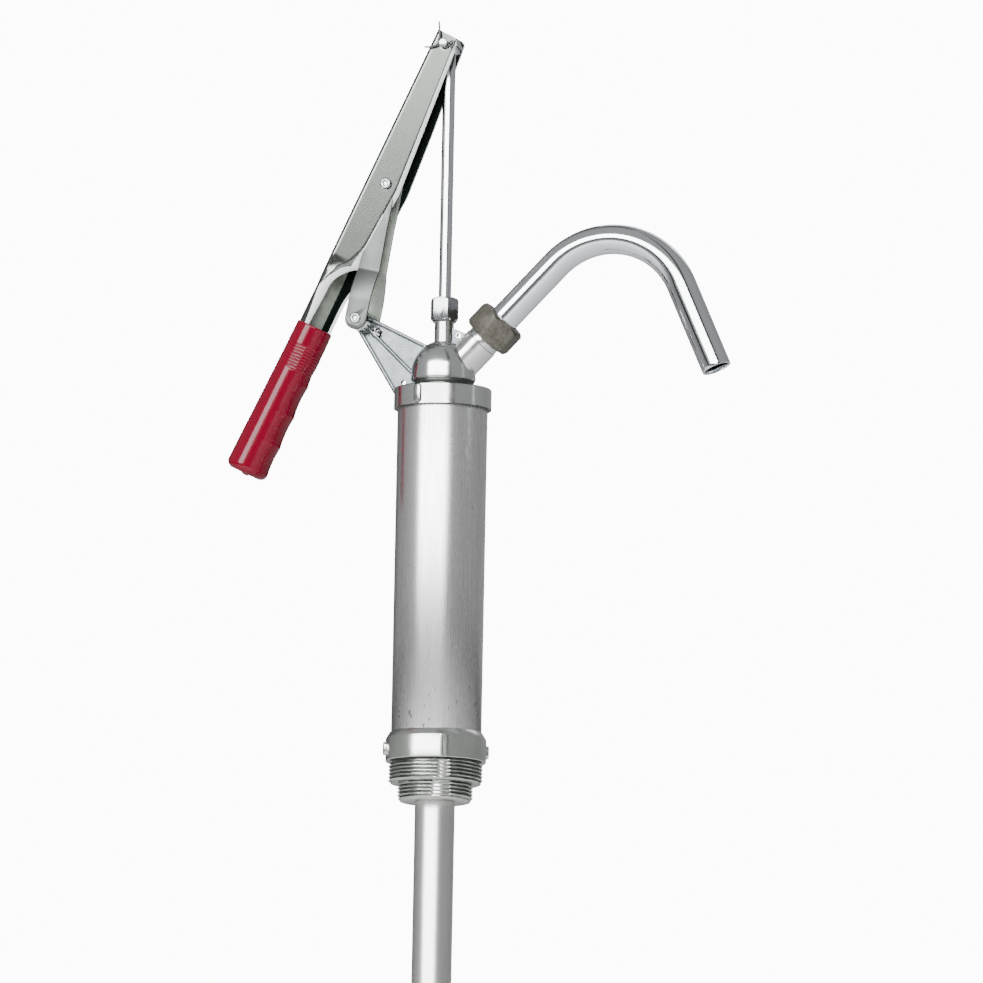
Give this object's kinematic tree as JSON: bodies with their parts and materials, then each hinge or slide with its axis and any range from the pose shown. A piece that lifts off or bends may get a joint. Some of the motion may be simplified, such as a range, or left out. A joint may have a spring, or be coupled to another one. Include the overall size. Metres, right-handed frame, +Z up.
{
  "type": "lever action drum pump",
  "caption": "Hand lever pump that screws into a drum bung, with a bent swivel spout, a red grip and a telescoping suction tube.",
  "frame": {"origin": "centre of the pump's axis at the underside of the adapter's collar, where the drum thread starts", "axes": "+Z up along the pump's axis, +X towards the spout, so the lever and its bracket are on -X; +Y away from the side that shows the split pin"},
  "size_m": [0.3319, 0.0638, 0.9521],
  "materials": {
    "cast_zinc": "bright plated die casting",
    "adapter_zinc": "satin die casting",
    "drawn_aluminium": "drawn, fine lengthwise streaks",
    "chrome": "polished chrome",
    "zinc_plate": "satin zinc plated pressed steel",
    "union_metal": "dull sandy zinc",
    "grip_vinyl": "glossy crimson dipped vinyl",
    "black_rubber": "moulded oil-proof rubber",
    "pale_plastic": "natural acetal",
    "dark_plastic": "black polyethylene",
    "steel_wire": "bright steel wire"
  },
  "bodies": {
    "pump_body": {"bung_adapter": "adapter_zinc", "cylinder_tube": "drawn_aluminium", "base_gasket": "black_rubber", "head_gasket": "black_rubber", "foot_valve_seat": "adapter_zinc", "foot_valve_cage": "zinc_plate", "suction_tube": "drawn_aluminium", "tube_seal_ring": "black_rubber", "telescope_sleeve": "dark_plastic", "head_casting": "cast_zinc", "gland_packing": "pale_plastic", "gland_nut": "zinc_plate", "bracket_pivot_pin": "zinc_plate", "union_nut": "union_metal", "spout_gasket": "black_rubber"},
    "spout": {"spout_tube": "chrome", "spout_collar": "chrome"},
    "lower_tube": {"lower_suction_tube": "drawn_aluminium", "suction_foot": "dark_plastic"},
    "foot_valve": {"foot_valve_disc": "black_rubber"},
    "rod": {"piston_rod": "chrome", "piston_plate": "adapter_zinc", "piston_cup": "black_rubber", "piston_stop": "zinc_plate", "piston_washer": "zinc_plate", "piston_nut": "zinc_plate"},
    "piston_valve": {"piston_valve_disc": "pale_plastic"},
    "lever": {"lever_channel": "zinc_plate", "handle_grip": "grip_vinyl", "clevis_pin": "zinc_plate", "eye_washers": "zinc_plate", "split_pin": "steel_wire", "lever_link_rivet": "zinc_plate"},
    "link": {"link_plate_front": "zinc_plate", "link_plate_back": "zinc_plate", "link_spacer": "zinc_plate", "link_foot_rivet": "zinc_plate"}
  },
  "joints": [
    {"name": "rod_slide", "type": "slide", "parent": "pump_body", "child": "rod", "axis": [0, 0, -1], "range_m": [0, 0.12]},
    {"name": "lever_pivot", "type": "hinge", "parent": "rod", "child": "lever", "pos_m": [0, 0, 0.4597], "axis": [0, 1, 0], "range_deg": [0, 81.5]},
    {"name": "link_pivot", "type": "hinge", "parent": "lever", "child": "link", "pos_m": [-0.03775, 0, 0.37078], "axis": [0, 1, 0], "range_deg": [-118.6, 0]},
    {"name": "piston_valve_lift", "type": "slide", "parent": "rod", "child": "piston_valve", "axis": [0, 0, 1], "range_m": [0, 0.003]},
    {"name": "foot_valve_lift", "type": "slide", "parent": "pump_body", "child": "foot_valve", "axis": [0, 0, 1], "range_m": [0, 0.004]},
    {"name": "spout_swivel", "type": "hinge", "parent": "pump_body", "child": "spout", "pos_m": [0, 0, 0.2427], "axis": [0.7071, 0, 0.7071], "range_deg": [-90, 90]},
    {"name": "suction_extension", "type": "slide", "parent": "pump_body", "child": "lower_tube", "axis": [0, 0, -1], "range_m": [0, 0.38]}
  ],
  "couplings": [
    {"joint": "lever_pivot", "follows": "rod_slide", "rad_per_m": 11.834},
    {"joint": "link_pivot", "follows": "rod_slide", "rad_per_m": -17.228}
  ]
}
